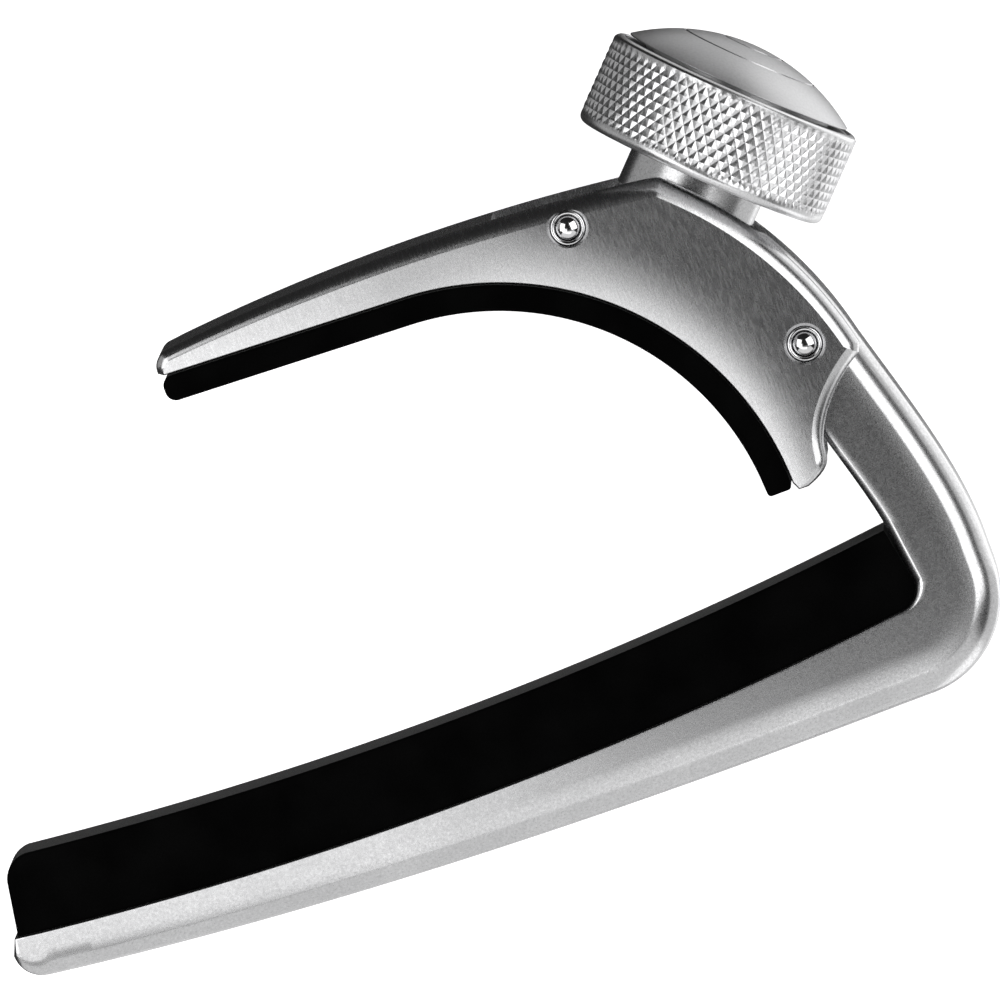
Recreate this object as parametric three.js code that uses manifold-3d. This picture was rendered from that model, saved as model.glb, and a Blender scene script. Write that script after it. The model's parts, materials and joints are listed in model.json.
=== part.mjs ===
// A guitar capo with a screw-adjusted jaw, modelled in millimetres as separate named pieces.
//
// The mid-plane of the capo is the XY plane and +Z runs along its width, along both cross pins.
// The origin is the centre of the fretboard pad's face: +X runs along the pad towards the spine,
// and +Y points from the pad to the jaw. Each outline below is drawn in the XY plane and given its
// width along Z.
import * as THREE from "three";
import { mergeVertices } from "three/addons/utils/BufferGeometryUtils.js";
import Module from "manifold-3d";

const wasm = await Module();
wasm.setup();

// ---------------------------------------------------------------- driving dimensions

// Widths along Z.
const FRAME_WIDTH = 9.8;
const JAW_WIDTH = 13.6;
const CHEEK = 1.5;
const FRETBOARD_PAD_WIDTH = 9.2;
const NECK_PAD_WIDTH = 13.0;
const GLUE_GAP = 0.1;

// Fretboard pad and the bar below it: the pad's face follows a 291 mm fretboard radius.
const FRETBOARD_RADIUS = 291.4;
const FRETBOARD_PAD_THICKNESS = 5.7;
const PAD_LEFT = -33.9;
const PAD_RIGHT = 34.8;
const PAD_END_CORNER = 1.6;
const PAD_HEEL_CORNER = 1.8;
const BAR_TIP = -35.25;
const BAR_TIP_CORNER = 2.2;
const BAR_BOTTOM = -10.38;
const HEEL_RADIUS = 7.45;
const SPINE_OUTSIDE = 40.75;
const FRAME_EDGE_ROUND = 2.4;

// Jaw: the neck pad's arch is an arc about NECK, its straight part runs on from the arc's top.
const NECK = new THREE.Vector2(6.63, 7.2);
const ARCH_RADIUS = 22.6;
const NECK_PAD_THICKNESS = 2;
const NECK_PAD_TIP = -10.75;
const JAW_FLOOR = 1.8;
const STRAIGHT_TILT = 2.5;
const JAW_TIP = -10.75;
const JAW_TIP_ROUND = 1.3;
const JAW_EDGE_ROUND = 1.3;
const SLOT_END = 15.5;

// The jaw's back and its top are arcs too, and the frame's outside runs flush with the back.
const BACK_CENTRE = new THREE.Vector2(7.9, 9.15);
const BACK_RADIUS = 30;
const FRAME_PROUD = 0.1;
const TOP_CENTRE = new THREE.Vector2(6.5, -124);
const TOP_RADIUS = 157.05;

// Cross pins.
const PIVOT = new THREE.Vector2(33.54, 16.67);
const STOP_PIN = new THREE.Vector2(20.52, 30.41);
const PIN_RADIUS = 0.9;
const PIN_LENGTH = 13.5;
const PIN_DOME = 0.28;
const BUSH_RADIUS = 1.27;
const BUSH_LENGTH = 1.2;
const SLEEVE_RADIUS = 1.9;
const WASHER_RADIUS = 2.7;
const WASHER_THICKNESS = 0.24;
const LUG_RADIUS = 3.4;
const RUNNING = 0.04;
const PRESS = 0.05;
const CLEAR = 0.1;

// Screw line: heights are measured along it from KNOB_SEAT, the middle of the knob's lower face.
const KNOB_SEAT = new THREE.Vector2(30.52, 30.55);
const SCREW_TILT = THREE.MathUtils.degToRad(44.3);
const SHOULDER_HEIGHT = -1.95;
const SHOULDER_REACH = 5.4;
const SEAT_HEIGHT = -3;
const NOSE_UNDERSIDE = -5.4;
const NOSE_REACH = -5.1;
const NOSE_CHAMFER = 0.5;
const COLLAR_RADIUS = 5.1;
const COLLAR_TOP = 1.7;
const COLLAR_SHANK_RADIUS = 3.4;
const COLLAR_SHANK_END = -4.9;
const COLLAR_CHAMFER = 0.3;
const SCREW_RADIUS = 2.45;
const SCREW_END = -7.35;
const SCREW_NECK_RADIUS = 1.2;
const SCREW_NECK_END = -8.2;
const SCREW_CHAMFER = 0.4;
const HEAD_FLATS = 8;
const FOOT_RADIUS = 2.3;
const FOOT_TOP = -7.45;
const FOOT_BOTTOM = -9.05;
const FOOT_DOME_RADIUS = 6;
const FOOT_EDGE = 0.7;
const SPOT_FACE = -9.2;
const CLIP_THICKNESS = 0.25;
const CLIP_WIDTH = 0.4;
const CLIP_OPENING = 50;

// Knob.
const KNOB_RADIUS = 19.05 / 2;
const KNOB_HEIGHT = 6.9;
const KNOB_EDGE = 0.6;
const RECESS_RADIUS = 5.7;
const RECESS_DEPTH = 3.6;
const HEAD_SEAT = 4.6;
const CAP_SEAT = 6;
const CAP_RADIUS = 8.8;
const CAP_DOME = 3.15;

// Torsion spring on the stop pin.
const SPRING_WIRE = 0.5;
const SPRING_MEAN_RADIUS = 1.35;
const SPRING_TURNS = 5.25;
const SPRING_PITCH = 0.62;
const SPRING_LEG_Z = 4.3;
const NOTCH_FLOOR = -4.4;
const NOTCH_HEIGHT = 0.9;
const NOTCH_DEPTH = 1.7;

// ---------------------------------------------------------------- shapes and solids

const SAME_POINT = 0.01;
// How far a cutter reaches past what it cuts.
const BEYOND = 12;
const degrees = THREE.MathUtils.degToRad;
const point = (x, y) => new THREE.Vector2(x, y);

// Points along an arc, from one angle to another in degrees, both ends included.
function arc(centre, radius, from, to, steps) {
  const points = [];
  for (let i = 0; i <= steps; i++) {
    const angle = degrees(from + ((to - from) * i) / steps);
    points.push(
      point(
        centre.x + radius * Math.cos(angle),
        centre.y + radius * Math.sin(angle),
      ),
    );
  }
  return points;
}

function bend(start, control, end, steps) {
  return new THREE.QuadraticBezierCurve(start, control, end).getPoints(steps);
}

function sweep(start, controlA, controlB, end, steps) {
  return new THREE.CubicBezierCurve(start, controlA, controlB, end).getPoints(
    steps,
  );
}

// The point at a height along the screw line and a distance to its right.
function fromScrew(height, across) {
  const s = Math.sin(SCREW_TILT);
  const c = Math.cos(SCREW_TILT);
  return point(
    KNOB_SEAT.x + height * s + across * c,
    KNOB_SEAT.y + height * c - across * s,
  );
}

// A closed geometry as a solid that can be joined and cut.
function solid(geometry) {
  const bare = geometry.clone();
  bare.deleteAttribute("normal");
  bare.deleteAttribute("uv");
  const merged = mergeVertices(bare, 1e-4);
  const corners = merged.index.array;
  const kept = [];
  for (let i = 0; i < corners.length; i += 3) {
    const [a, b, c] = corners.slice(i, i + 3);
    if (a !== b && b !== c && c !== a) kept.push(a, b, c);
  }
  const mesh = new wasm.Mesh({
    numProp: 3,
    vertProperties: merged.attributes.position.array,
    triVerts: new Uint32Array(kept),
  });
  return new wasm.Manifold(mesh);
}

function geometryOf(made) {
  const mesh = made.getMesh();
  const geometry = new THREE.BufferGeometry();
  geometry.setAttribute(
    "position",
    new THREE.BufferAttribute(mesh.vertProperties, 3),
  );
  geometry.setIndex(new THREE.BufferAttribute(mesh.triVerts, 1));
  geometry.computeVertexNormals();
  return geometry;
}

// An outline without the repeated corners where two of its stretches meet, turning anticlockwise.
function tidyOutline(points) {
  const last = points.at(-1);
  const kept = points.filter(
    (p, i) => p.distanceTo(i ? points[i - 1] : last) > SAME_POINT,
  );
  return THREE.ShapeUtils.isClockWise(kept) ? kept.reverse() : kept;
}

// An outline given a width along Z, centred on the mid-plane.
function plate(points, width) {
  const shape = new THREE.Shape(tidyOutline(points));
  const geometry = new THREE.ExtrudeGeometry(shape, {
    depth: width,
    bevelEnabled: false,
  });
  geometry.translate(0, 0, -width / 2);
  return geometry;
}

// An anticlockwise outline moved inwards by a distance, corner by corner.
function inset(outline, distance) {
  const count = outline.length;
  return outline.map((p, i) => {
    const before = p.clone().sub(outline[(i + count - 1) % count]).normalize();
    const after = outline[(i + 1) % count].clone().sub(p).normalize();
    const inward = point(-before.y - after.y, before.x + after.x).normalize();
    const share = Math.max(0.5, inward.dot(point(-after.y, after.x)));
    return p.clone().addScaledVector(inward, distance / share);
  });
}

// The same plate with its two long edges rounded: a stack of outlines that shrink towards the
// faces, the outline itself keeping its size between them.
function roundedPlate(points, width, radius, segments) {
  const outline = tidyOutline(points);
  const quarter = [];
  for (let i = 0; i <= segments; i++) {
    const angle = (Math.PI / 2) * (i / segments);
    quarter.push([width / 2 - radius * (1 - Math.cos(angle)), radius * (1 - Math.sin(angle))]);
  }
  const layers = [
    ...quarter.map(([height, shrink]) => [-height, shrink]),
    ...quarter.reverse(),
  ];
  const positions = [];
  for (const [height, shrink] of layers) {
    for (const p of inset(outline, shrink)) positions.push(p.x, p.y, height);
  }
  const count = outline.length;
  const top = count * (layers.length - 1);
  const corners = [];
  for (const [a, b, c] of THREE.ShapeUtils.triangulateShape(outline, [])) {
    corners.push(a, c, b, top + a, top + b, top + c);
  }
  for (let base = 0; base < top; base += count) {
    for (let i = 0; i < count; i++) {
      const a = base + i;
      const b = base + ((i + 1) % count);
      corners.push(a, b, b + count, a, b + count, a + count);
    }
  }
  const geometry = new THREE.BufferGeometry();
  geometry.setAttribute("position", new THREE.Float32BufferAttribute(positions, 3));
  geometry.setIndex(corners);
  return geometry;
}

// A turned piece about its own Y axis, from [radius, height] corners listed upwards on the outside.
function turned(corners, sides = 32) {
  const profile = corners.map(([radius, height]) => point(radius, height));
  return new THREE.LatheGeometry(profile, sides);
}

function tube(outer, inner, low, high, sides = 32) {
  return turned(
    [
      [inner, low],
      [outer, low],
      [outer, high],
      [inner, high],
      [inner, low],
    ],
    sides,
  );
}

// A plain round cutter about the screw line or a pin line, before it is turned into place.
function rod(radius, low, high, sides = 32) {
  return turned(
    [
      [0, low],
      [radius, low],
      [radius, high],
      [0, high],
    ],
    sides,
  );
}

const ALONG_SCREW = new THREE.Matrix4()
  .makeTranslation(KNOB_SEAT.x, KNOB_SEAT.y, 0)
  .multiply(new THREE.Matrix4().makeRotationZ(-SCREW_TILT));

function alongPin(centre) {
  return new THREE.Matrix4()
    .makeTranslation(centre.x, centre.y, 0)
    .multiply(new THREE.Matrix4().makeRotationX(Math.PI / 2));
}

function placed(geometry, matrix) {
  return solid(geometry.clone().applyMatrix4(matrix));
}

// ---------------------------------------------------------------- materials

function finish(colour, roughness, metalness) {
  return new THREE.MeshStandardMaterial({ color: colour, roughness, metalness });
}

const MATERIALS = {
  blasted_aluminium: finish(0xa9aaab, 0.5, 1),
  brushed_aluminium: finish(0xb4b5b7, 0.35, 1),
  turned_aluminium: finish(0xb4b5b7, 0.35, 1),
  knurled_aluminium: finish(0xd4d5d6, 0.3, 1),
  black_rubber: finish(0x0b0b0b, 0.75, 0),
  polished_steel: finish(0xd9dadc, 0.1, 1),
  spring_steel: finish(0x8f9194, 0.3, 1),
  bearing_bronze: finish(0x9a6f3c, 0.4, 1),
  white_nylon: finish(0xe4e2da, 0.5, 0),
};

function piece(name, geometry, material) {
  const mesh = new THREE.Mesh(geometry, MATERIALS[material]);
  mesh.name = name;
  return mesh;
}

// ---------------------------------------------------------------- frame

// The height of an arc of this radius about the pad's centre of curvature, at a place along X.
function padArc(radius, x) {
  return FRETBOARD_RADIUS - Math.sqrt(radius ** 2 - x ** 2);
}

function padLine(radius, left, right, steps) {
  const points = [];
  for (let i = 0; i <= steps; i++) {
    const x = left + ((right - left) * i) / steps;
    points.push(point(x, padArc(radius, x)));
  }
  return points;
}

const SEAT_RADIUS = FRETBOARD_RADIUS + FRETBOARD_PAD_THICKNESS;
const HEEL_CENTRE = point(SPINE_OUTSIDE - HEEL_RADIUS, BAR_BOTTOM + HEEL_RADIUS);
const FRAME_BACK_RADIUS = BACK_RADIUS + FRAME_PROUD;

// The outside of the frame, from the bar's tip along its bottom, round the heel and up the spine.
function frameOutside() {
  const back = arc(BACK_CENTRE, FRAME_BACK_RADIUS, 14, 31.5, 8);
  return [
    ...bend(point(-33, -7.2), point(-6, -10.75), point(31, BAR_BOTTOM), 18),
    ...arc(HEEL_CENTRE, HEEL_RADIUS, -92, 0, 12),
    ...sweep(
      point(SPINE_OUTSIDE, -1.5),
      point(SPINE_OUTSIDE + 0.2, 4),
      point(38.75, 10.4),
      back[0],
      10,
    ).slice(0, -1),
    ...back,
  ];
}

// The inside of the frame, from the nose down past the pivot lug to the pad's heel and its seat.
function frameInside() {
  const heel = point(
    PAD_RIGHT + GLUE_GAP - PAD_HEEL_CORNER,
    padArc(SEAT_RADIUS + GLUE_GAP, PAD_RIGHT - PAD_HEEL_CORNER) + PAD_HEEL_CORNER,
  );
  const lug = arc(PIVOT, LUG_RADIUS, 150, 225, 6);
  return [
    fromScrew(SHOULDER_HEIGHT, SHOULDER_REACH),
    fromScrew(SEAT_HEIGHT, SHOULDER_REACH),
    fromScrew(SEAT_HEIGHT, NOSE_REACH + NOSE_CHAMFER),
    fromScrew(SEAT_HEIGHT - NOSE_CHAMFER, NOSE_REACH),
    fromScrew(NOSE_UNDERSIDE + NOSE_CHAMFER, NOSE_REACH),
    fromScrew(NOSE_UNDERSIDE, NOSE_REACH + NOSE_CHAMFER),
    fromScrew(NOSE_UNDERSIDE, 3.5),
    ...lug,
    ...sweep(
      lug.at(-1),
      point(31.9, 11.2),
      point(33.9, 5.2),
      point(34.35, 2.11),
      8,
    ).slice(1),
    ...arc(heel, PAD_HEEL_CORNER, 0, -90, 6),
    ...padLine(SEAT_RADIUS + GLUE_GAP, heel.x, BAR_TIP + 0.5, 18).slice(1),
  ];
}

function frame() {
  const tip = point(BAR_TIP + BAR_TIP_CORNER, -4.95);
  const outline = [
    ...arc(tip, BAR_TIP_CORNER, 180, 260, 7),
    ...frameOutside(),
    ...frameInside(),
  ];
  // A larger plate shares the frame's outside and passes well inside it, so that only the outside
  // edges come out rounded.
  const blank = [
    point(BAR_TIP - BEYOND, BAR_BOTTOM + 5),
    ...frameOutside(),
    fromScrew(BEYOND, SHOULDER_REACH),
    fromScrew(BEYOND, NOSE_REACH - BEYOND),
    point(BAR_TIP - BEYOND, BEYOND),
  ];
  let body = solid(plate(outline, FRAME_WIDTH)).intersect(
    solid(roundedPlate(blank, FRAME_WIDTH, FRAME_EDGE_ROUND, 3)),
  );
  const collarHole = rod(COLLAR_SHANK_RADIUS + PRESS, -BEYOND, 0);
  const sleeveHole = rod(SLEEVE_RADIUS + PRESS, -FRAME_WIDTH, FRAME_WIDTH);
  // The notch for the spring's leg is open to the nose's end and to the frame's near side.
  const notch = new THREE.BoxGeometry(2 * NOTCH_DEPTH, NOTCH_HEIGHT, 2);
  notch.translate(NOSE_REACH, NOTCH_FLOOR + NOTCH_HEIGHT / 2, SPRING_LEG_Z + 0.5);
  body = body.subtract(placed(collarHole, ALONG_SCREW));
  body = body.subtract(placed(notch, ALONG_SCREW));
  body = body.subtract(placed(sleeveHole, alongPin(PIVOT)));
  return geometryOf(body);
}

function fretboardPad() {
  const faceLeft = point(
    PAD_LEFT + PAD_END_CORNER,
    padArc(FRETBOARD_RADIUS, PAD_LEFT + PAD_END_CORNER) - PAD_END_CORNER,
  );
  const heel = point(
    PAD_RIGHT - PAD_HEEL_CORNER,
    padArc(SEAT_RADIUS, PAD_RIGHT - PAD_HEEL_CORNER) + PAD_HEEL_CORNER,
  );
  const reach = -PAD_LEFT - PAD_END_CORNER;
  const outline = [
    ...arc(faceLeft, PAD_END_CORNER, 90, 175, 5).reverse(),
    ...padLine(FRETBOARD_RADIUS, -reach, reach, 21).slice(1),
    point(34.1, padArc(FRETBOARD_RADIUS, 34.1)),
    ...arc(heel, PAD_HEEL_CORNER, 0, -90, 6),
    ...padLine(SEAT_RADIUS, heel.x, PAD_LEFT - 0.6, 18).slice(1),
  ];
  return plate(outline, FRETBOARD_PAD_WIDTH);
}

// ---------------------------------------------------------------- jaw

// The line that the jaw's underside and the neck pad's faces follow, at a distance from NECK: an
// arch, then a straight stretch that leaves it on a tangent and ends at a place along X.
function archLine(radius, fromAngle, steps) {
  return arc(NECK, radius, fromAngle, 90 - STRAIGHT_TILT, steps);
}

function straightEnd(radius, x) {
  const start = arc(NECK, radius, 90 - STRAIGHT_TILT, 0, 1)[0];
  return point(x, start.y + (start.x - x) * Math.tan(degrees(STRAIGHT_TILT)));
}

// The jaw's top and back, from the tip round to the top of its rear edge.
function jawOutside() {
  const top = arc(TOP_CENTRE, TOP_RADIUS, 95.5, 83.4, 14);
  const back = arc(BACK_CENTRE, BACK_RADIUS, 48, 12, 14);
  return [
    ...top,
    ...bend(top.at(-1), point(27.76, 31.68), back[0], 6).slice(1, -1),
    ...back,
  ];
}

// The rear edge: a hollow curve from the back down to the rounded lower end of the arch.
function jawRear() {
  return [
    ...sweep(
      point(36.95, 14.72),
      point(35, 13.6),
      point(32.4, 11.2),
      point(32.25, 8.8),
      9,
    ),
    ...bend(point(32.15, 8.3), point(31.9, 7.5), point(30.2, 6.95), 4),
    point(29.5, 6.98),
  ];
}

function jaw() {
  const tip = point(JAW_TIP + JAW_TIP_ROUND, 30.92);
  const outline = [
    ...arc(tip, JAW_TIP_ROUND, 185, 105, 5),
    ...jawOutside(),
    ...jawRear(),
    ...archLine(ARCH_RADIUS, 1, 24),
    straightEnd(ARCH_RADIUS, JAW_TIP + 0.4),
  ];
  // A larger plate with the same top and back rounds the edges there and nowhere else.
  const blank = [
    point(JAW_TIP - BEYOND, 30.6),
    ...jawOutside(),
    point(BACK_CENTRE.x + BACK_RADIUS, 0),
    point(JAW_TIP - BEYOND, 0),
  ];
  const floorRadius = ARCH_RADIUS + JAW_FLOOR;
  const floorStart = THREE.MathUtils.radToDeg(Math.acos((SLOT_END - NECK.x) / floorRadius));
  const floor = arc(NECK, floorRadius, floorStart, -8, 20);
  const outside = BACK_CENTRE.x + BACK_RADIUS + BEYOND;
  const slot = [
    ...floor,
    point(outside, floor.at(-1).y),
    point(outside, outside),
    point(SLOT_END, outside),
  ];
  let body = solid(plate(outline, JAW_WIDTH)).intersect(
    solid(roundedPlate(blank, JAW_WIDTH, JAW_EDGE_ROUND, 3)),
  );
  body = body.subtract(solid(plate(slot, JAW_WIDTH - 2 * CHEEK)));
  const hole = rod(BUSH_RADIUS + PRESS, -JAW_WIDTH, JAW_WIDTH);
  for (const pin of [PIVOT, STOP_PIN]) {
    body = body.subtract(placed(hole, alongPin(pin)));
  }
  const spotFace = rod(FOOT_RADIUS + 1, SPOT_FACE, 0);
  return geometryOf(body.subtract(placed(spotFace, ALONG_SCREW)));
}

function neckPad() {
  const seat = ARCH_RADIUS - GLUE_GAP;
  const face = ARCH_RADIUS - NECK_PAD_THICKNESS;
  const outline = [
    ...archLine(seat, 1.5, 22),
    straightEnd(seat, NECK_PAD_TIP + 0.6),
    straightEnd(seat - 0.6, NECK_PAD_TIP),
    straightEnd(face + 0.6, NECK_PAD_TIP),
    straightEnd(face, NECK_PAD_TIP + 0.6),
    ...archLine(face, 2.5, 22).reverse(),
    ...arc(point(28, 7.9), 0.75, 190, 300, 3),
  ];
  return plate(outline, NECK_PAD_WIDTH);
}

// ---------------------------------------------------------------- pins and what is on them

// A cross pin with a quarter-ellipse dome at each end.
function pin() {
  const half = PIN_LENGTH / 2;
  const rise = 2 * PIN_DOME;
  const dome = [90, 60, 30, 0].map((turn) => [
    PIN_RADIUS * Math.cos(degrees(turn)),
    half - rise * (1 - Math.sin(degrees(turn))),
  ]);
  dome[0][0] = 0;
  const lower = dome.map(([radius, height]) => [radius, -height]);
  return turned([...lower, ...dome.reverse()], 24);
}

function pinGroup(centre) {
  const group = new THREE.Group();
  group.position.set(centre.x, centre.y, 0);
  group.rotation.x = Math.PI / 2;
  return group;
}

// A bush in each cheek, pressed in flush with the cheek's inner face.
function addBushes(group, prefix) {
  const bush = tube(BUSH_RADIUS, PIN_RADIUS + PRESS, -BUSH_LENGTH / 2, BUSH_LENGTH / 2, 24);
  for (const [side, sign] of [["near", -1], ["far", 1]]) {
    const mesh = piece(`${prefix}_bush_${side}`, bush, "polished_steel");
    mesh.position.y = sign * (JAW_WIDTH / 2 - CHEEK / 2 - PRESS);
    group.add(mesh);
  }
}

function pivotGroup() {
  const group = pinGroup(PIVOT);
  group.add(piece("pivot_pin", pin(), "polished_steel"));
  addBushes(group, "pivot");
  const sleeve = tube(
    SLEEVE_RADIUS,
    PIN_RADIUS + RUNNING,
    -FRAME_WIDTH / 2,
    FRAME_WIDTH / 2,
    24,
  );
  group.add(piece("pivot_sleeve", sleeve, "bearing_bronze"));
  const washer = tube(
    WASHER_RADIUS,
    PIN_RADIUS + PRESS,
    -WASHER_THICKNESS / 2,
    WASHER_THICKNESS / 2,
    24,
  );
  const gapMiddle = (FRAME_WIDTH / 2 + JAW_WIDTH / 2 - CHEEK) / 2;
  for (const [side, sign] of [["near", -1], ["far", 1]]) {
    const mesh = piece(`pivot_washer_${side}`, washer, "white_nylon");
    mesh.position.y = sign * gapMiddle;
    group.add(mesh);
  }
  return group;
}

// The torsion spring: a close coil round the stop pin. One leg presses on the jaw's floor, and the
// other climbs beside the frame's nose and hooks into the notch in it.
function springPath() {
  const across = (height, offset, z) => {
    const p = fromScrew(height, offset);
    return new THREE.Vector3(p.x, p.y, z);
  };
  const startAngle = -Math.PI / 2 - SCREW_TILT;
  const length = SPRING_TURNS * SPRING_PITCH;
  const steps = Math.round(SPRING_TURNS * 10);
  const coil = [];
  for (let i = 0; i <= steps; i++) {
    const share = i / steps;
    const angle = startAngle + share * SPRING_TURNS * 2 * Math.PI;
    coil.push(
      new THREE.Vector3(
        STOP_PIN.x + SPRING_MEAN_RADIUS * Math.cos(angle),
        STOP_PIN.y + SPRING_MEAN_RADIUS * Math.sin(angle),
        (share - 0.5) * length,
      ),
    );
  }
  const side = length / 2;
  return new THREE.CatmullRomCurve3([
    across(-10, -9.1, -side - 0.2),
    across(-9, -8.1, -side - 0.1),
    ...coil,
    across(-6, -5.72, side + 0.5),
    across(-4.7, -5.75, SPRING_LEG_Z - 0.5),
    across(NOTCH_FLOOR + 0.3, -5.4, SPRING_LEG_Z),
    across(NOTCH_FLOOR + 0.3, -4.8, SPRING_LEG_Z),
    across(NOTCH_FLOOR + 0.3, -4, SPRING_LEG_Z),
  ]);
}

// The wire has a six-sided section.
function returnSpring() {
  const wire = new THREE.Shape(arc(point(0, 0), SPRING_WIRE / 2, 0, 300, 5));
  return new THREE.ExtrudeGeometry(wire, {
    extrudePath: springPath(),
    steps: 110,
    bevelEnabled: false,
  });
}

function stopPinGroup() {
  const group = pinGroup(STOP_PIN);
  group.add(piece("stop_pin", pin(), "polished_steel"));
  addBushes(group, "stop");
  return group;
}

// ---------------------------------------------------------------- screw line

// The threaded collar pressed into the frame's nose, which carries the screw.
function screwCollar() {
  const inner = SCREW_RADIUS + CLEAR;
  return turned(
    [
      [inner, COLLAR_SHANK_END],
      [COLLAR_SHANK_RADIUS, COLLAR_SHANK_END],
      [COLLAR_SHANK_RADIUS, SEAT_HEIGHT + PRESS],
      [COLLAR_RADIUS, SEAT_HEIGHT + PRESS],
      [COLLAR_RADIUS, COLLAR_TOP - COLLAR_CHAMFER],
      [COLLAR_RADIUS - COLLAR_CHAMFER, COLLAR_TOP],
      [inner, COLLAR_TOP],
      [inner, COLLAR_SHANK_END],
    ],
    48,
  );
}

// The screw, with a hexagonal head that sits in the knob.
function adjustingScrew() {
  const headMiddle = (CAP_SEAT + HEAD_SEAT) / 2;
  const shank = turned(
    [
      [0, SCREW_NECK_END],
      [SCREW_NECK_RADIUS, SCREW_NECK_END],
      [SCREW_NECK_RADIUS, SCREW_END],
      [SCREW_RADIUS - SCREW_CHAMFER, SCREW_END],
      [SCREW_RADIUS, SCREW_END + SCREW_CHAMFER],
      [SCREW_RADIUS, headMiddle],
      [0, headMiddle],
    ],
    32,
  );
  const corner = HEAD_FLATS / Math.sqrt(3);
  const headHeight = CAP_SEAT - HEAD_SEAT - CLEAR;
  const head = new THREE.CylinderGeometry(corner, corner, headHeight, 6);
  head.translate(0, headMiddle, 0);
  return geometryOf(solid(shank).add(solid(head)));
}

// The foot that presses on the jaw: domed below, with a socket for the screw's neck and its clip.
function thrustFoot() {
  const centre = FOOT_BOTTOM + FOOT_DOME_RADIUS;
  const rim = FOOT_RADIUS - 2 * CLEAR;
  const edge = THREE.MathUtils.radToDeg(Math.asin(rim / FOOT_DOME_RADIUS));
  const dome = arc(point(0, centre), FOOT_DOME_RADIUS, -90, -90 + edge, 4);
  const socket = SCREW_NECK_RADIUS + CLEAR;
  const clipSocket = SCREW_NECK_RADIUS + PRESS + CLIP_WIDTH + CLEAR;
  const clipFloor = FOOT_TOP - CLIP_THICKNESS - CLEAR;
  return turned(
    [
      [0, FOOT_BOTTOM],
      ...dome.slice(1).map(({ x, y }) => [x, y]),
      [FOOT_RADIUS, FOOT_BOTTOM + FOOT_EDGE],
      [FOOT_RADIUS, FOOT_TOP],
      [clipSocket, FOOT_TOP],
      [clipSocket, clipFloor],
      [socket, clipFloor],
      [socket, SCREW_NECK_END - CLEAR],
      [0, SCREW_NECK_END - CLEAR],
    ],
    32,
  );
}

// The split ring that holds the foot on the screw's neck.
function footClip() {
  const start = CLIP_OPENING / 2;
  const end = 360 - start;
  const inner = SCREW_NECK_RADIUS + PRESS;
  const ring = new THREE.Shape([
    ...arc(point(0, 0), inner + CLIP_WIDTH, start, end, 20),
    ...arc(point(0, 0), inner, end, start, 20),
  ]);
  const geometry = new THREE.ExtrudeGeometry(ring, {
    depth: CLIP_THICKNESS,
    bevelEnabled: false,
  });
  geometry.rotateX(-Math.PI / 2);
  geometry.translate(0, FOOT_TOP - CLIP_THICKNESS - PRESS, 0);
  return geometry;
}

// The knob's body: hollow below, where it covers the collar, with a hexagonal pocket for the
// screw's head under the cap.
function knobBody() {
  const bore = SCREW_RADIUS + PRESS;
  const capSocket = CAP_RADIUS + PRESS;
  const edge = arc(point(KNOB_RADIUS - KNOB_EDGE, KNOB_EDGE), KNOB_EDGE, -90, 0, 3);
  const body = turned(
    [
      [bore, RECESS_DEPTH],
      [RECESS_RADIUS, RECESS_DEPTH],
      [RECESS_RADIUS, 0],
      ...edge.map(({ x, y }) => [x, y]),
      [KNOB_RADIUS, KNOB_HEIGHT - KNOB_EDGE / 2],
      [KNOB_RADIUS - KNOB_EDGE / 2, KNOB_HEIGHT],
      [capSocket, KNOB_HEIGHT],
      [capSocket, CAP_SEAT],
      [bore, CAP_SEAT],
      [bore, RECESS_DEPTH],
    ],
    64,
  );
  const pocketRadius = (HEAD_FLATS + 2 * CLEAR) / Math.sqrt(3);
  const pocket = new THREE.CylinderGeometry(pocketRadius, pocketRadius, KNOB_HEIGHT, 6);
  pocket.translate(0, HEAD_SEAT + KNOB_HEIGHT / 2, 0);
  return geometryOf(solid(body).subtract(solid(pocket)));
}

// The cap pressed into the knob's top, a shallow dome.
function knobCap() {
  const rim = KNOB_HEIGHT - PRESS;
  const sphere = (CAP_RADIUS ** 2 + CAP_DOME ** 2) / (2 * CAP_DOME);
  const half = THREE.MathUtils.radToDeg(Math.asin(CAP_RADIUS / sphere));
  const centre = point(0, rim + CAP_DOME - sphere);
  const dome = arc(centre, sphere, 90 - half, 90, 6);
  return turned(
    [[0, CAP_SEAT + PRESS], [CAP_RADIUS, CAP_SEAT + PRESS], ...dome.map(({ x, y }) => [x, y])],
    64,
  );
}

function screwGroup() {
  const group = new THREE.Group();
  group.position.set(KNOB_SEAT.x, KNOB_SEAT.y, 0);
  group.rotation.z = -SCREW_TILT;
  group.add(piece("screw_collar", screwCollar(), "blasted_aluminium"));
  group.add(piece("adjusting_screw", adjustingScrew(), "polished_steel"));
  group.add(piece("thrust_foot", thrustFoot(), "polished_steel"));
  group.add(piece("foot_clip", footClip(), "spring_steel"));
  group.add(piece("knob_body", knobBody(), "knurled_aluminium"));
  group.add(piece("knob_cap", knobCap(), "turned_aluminium"));
  return group;
}

// ---------------------------------------------------------------- the capo

const capo = new THREE.Group();
capo.add(piece("frame", frame(), "blasted_aluminium"));
capo.add(piece("fretboard_pad", fretboardPad(), "black_rubber"));
capo.add(piece("jaw", jaw(), "brushed_aluminium"));
capo.add(piece("neck_pad", neckPad(), "black_rubber"));
capo.add(pivotGroup());
capo.add(stopPinGroup());
capo.add(piece("return_spring", returnSpring(), "spring_steel"));
capo.add(screwGroup());

export default capo;
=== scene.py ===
import json
import math

import bpy
import numpy as np
from mathutils import Matrix, Vector
from mathutils.geometry import delaunay_2d_cdt


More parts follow.
